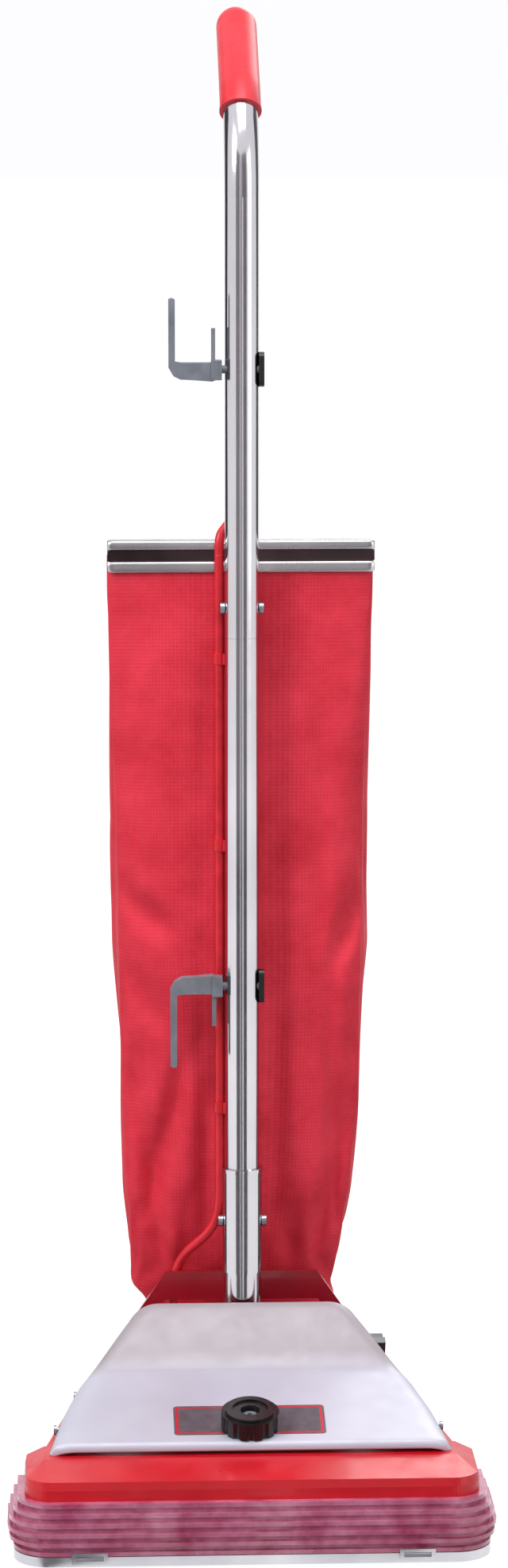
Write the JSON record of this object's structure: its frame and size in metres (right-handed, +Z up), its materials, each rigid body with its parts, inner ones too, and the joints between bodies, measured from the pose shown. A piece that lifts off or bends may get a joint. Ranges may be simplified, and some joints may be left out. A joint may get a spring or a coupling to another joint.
{
  "type": "upright vacuum cleaner",
  "caption": "Upright commercial vacuum cleaner: cast red nozzle base with bumper, bright hood, bent tube handle, cord hooks and a hanging cloth bag.",
  "frame": {"origin": "on the floor, centre of the overall box seen from above", "axes": "+Z up, -Y the front (nozzle), +X the right seen from the front; handle upright at rest"},
  "size_m": [0.351, 0.3354, 1.0977],
  "materials": {
    "cast_red": "gloss paint on cast metal",
    "dark_red": "painted pressed steel",
    "chrome_sheet": "polished plate",
    "chrome_tube": "polished plate",
    "clear_guard": "soft translucent vinyl",
    "label": "printed plate",
    "zinc": "zinc plated",
    "motor_grey": "dark enamel",
    "alloy": "as cast",
    "core": "laminations",
    "copper": "copper",
    "brass": "satin",
    "carbon": "carbon",
    "black_plastic": "moulded",
    "grey_plastic": "moulded",
    "black_rubber": "rubber",
    "wood": "turned, varnished",
    "bristle": "nylon tufts",
    "grip_red": "vinyl",
    "lead_red": "vinyl cord",
    "switch_red": "moulded",
    "cloth": "woven nylon"
  },
  "bodies": {
    "base": {"base_housing": "cast_red", "furniture_guard": "clear_guard", "hood": "chrome_sheet", "hood_label": "label", "hood_screws": "zinc", "motor_cover": "dark_red", "bottom_plate": "zinc", "belt_duct": "motor_grey", "fan_housing": "alloy", "motor_shell": "motor_grey", "motor_end_cap": "motor_grey", "field_stack": "core", "field_coils": "copper", "brush_holders": "brass", "carbon_brushes": "carbon", "motor_bearings": "zinc", "exhaust_port": "motor_grey", "drive_belt": "black_rubber", "roll_end_caps": "black_plastic", "carriage_pin": "zinc", "carriage_spring": "zinc", "rear_axles": "zinc", "pedal_pin": "zinc", "pedal_spring": "zinc", "pivot_bolts": "zinc"},
    "handle": {"handle_bail": "dark_red", "handle_socket": "chrome_tube", "cross_bolts": "zinc", "lower_tube": "chrome_tube", "upper_tube": "chrome_tube", "grip": "grip_red", "lower_cord_hook": "grey_plastic", "hook_retainers": "black_plastic", "switch_body": "black_plastic", "cable_grommets": "black_rubber", "switch_lead": "lead_red", "lead_clips": "grey_plastic", "clamp_spring": "zinc", "bag": "cloth", "bag_neck": "cloth"},
    "brush_roll_body": {"brush_roll": "wood", "bristle_strips": "bristle"},
    "rotor": {"motor_shaft": "zinc", "armature": "core", "commutator": "copper", "fan": "alloy"},
    "knob": {"height_knob": "black_plastic", "height_cam": "grey_plastic"},
    "carriage": {"front_carriage": "zinc", "front_axle": "zinc"},
    "front_wheel_left_body": {"front_wheel_left": "black_rubber"},
    "front_wheel_right_body": {"front_wheel_right": "black_rubber"},
    "rear_wheel_left_body": {"rear_wheel_left": "black_rubber"},
    "rear_wheel_right_body": {"rear_wheel_right": "black_rubber"},
    "pedal": {"handle_pedal": "motor_grey"},
    "rocker": {"switch_rocker": "switch_red"},
    "upper_hook": {"upper_cord_hook": "grey_plastic"},
    "clamp": {"bag_clamp": "zinc"},
    "latch_left_body": {"latch_left": "zinc"},
    "latch_right_body": {"latch_right": "zinc"}
  },
  "joints": [
    {"name": "handle_tilt", "type": "hinge", "parent": "base", "child": "handle", "pos_m": [0, 0.03766, 0.084], "axis": [-1, 0, 0], "range_deg": [0, 65], "deforming": ["bag_neck", "switch_lead"]},
    {"name": "height_knob_turn", "type": "hinge", "parent": "base", "child": "knob", "pos_m": [0, -0.09334, 0.08208], "axis": [0, -0.2001, 0.9798], "range_deg": [0, 300]},
    {"name": "carriage_tilt", "type": "hinge", "parent": "base", "child": "carriage", "pos_m": [0, -0.00834, 0.022], "axis": [-1, 0, 0], "range_deg": [0, 4.6], "deforming": ["carriage_spring"]},
    {"name": "front_wheel_left_spin", "type": "hinge", "parent": "carriage", "child": "front_wheel_left_body", "pos_m": [-0.0885, -0.06634, 0.015], "axis": [1, 0, 0], "continuous": true},
    {"name": "front_wheel_right_spin", "type": "hinge", "parent": "carriage", "child": "front_wheel_right_body", "pos_m": [0.0885, -0.06634, 0.015], "axis": [1, 0, 0], "continuous": true},
    {"name": "rear_wheel_left_spin", "type": "hinge", "parent": "base", "child": "rear_wheel_left_body", "pos_m": [-0.096, 0.10166, 0.03], "axis": [1, 0, 0], "continuous": true},
    {"name": "rear_wheel_right_spin", "type": "hinge", "parent": "base", "child": "rear_wheel_right_body", "pos_m": [0.096, 0.10166, 0.03], "axis": [1, 0, 0], "continuous": true},
    {"name": "armature_spin", "type": "hinge", "parent": "base", "child": "rotor", "pos_m": [0, 0.03766, 0.084], "axis": [1, 0, 0], "continuous": true},
    {"name": "brush_roll_spin", "type": "hinge", "parent": "base", "child": "brush_roll_body", "pos_m": [0, -0.12434, 0.029], "axis": [1, 0, 0], "continuous": true},
    {"name": "pedal_press", "type": "hinge", "parent": "base", "child": "pedal", "pos_m": [0.097, 0.06166, 0.079], "axis": [-1, 0, 0], "range_deg": [0, 5], "stiffness_Nm_per_rad": 4, "springref_deg": -2.86, "deforming": ["pedal_spring"]},
    {"name": "switch_rocker_tip", "type": "hinge", "parent": "handle", "child": "rocker", "pos_m": [0, 0.07566, 0.928], "axis": [1, 0, 0], "range_deg": [0, 18]},
    {"name": "upper_hook_swivel", "type": "hinge", "parent": "handle", "child": "upper_hook", "pos_m": [-0.02, 0.04816, 0.838], "axis": [1, 0, 0], "range_deg": [0, 180]},
    {"name": "clamp_slide", "type": "slide", "parent": "handle", "child": "clamp", "axis": [1, 0, 0], "range_m": [0, 0.205]},
    {"name": "latch_left_turn", "type": "hinge", "parent": "base", "child": "latch_left_body", "pos_m": [-0.122, -0.08434, 0.002], "axis": [0, 0, 1], "range_deg": [0, 90]},
    {"name": "latch_right_turn", "type": "hinge", "parent": "base", "child": "latch_right_body", "pos_m": [0.122, -0.08434, 0.002], "axis": [0, 0, 1], "range_deg": [-90, 0]}
  ],
  "couplings": [
    {"joint": "carriage_tilt", "follows": "height_knob_turn", "ratio": 0.015333},
    {"joint": "brush_roll_spin", "follows": "armature_spin", "ratio": 0.514}
  ]
}
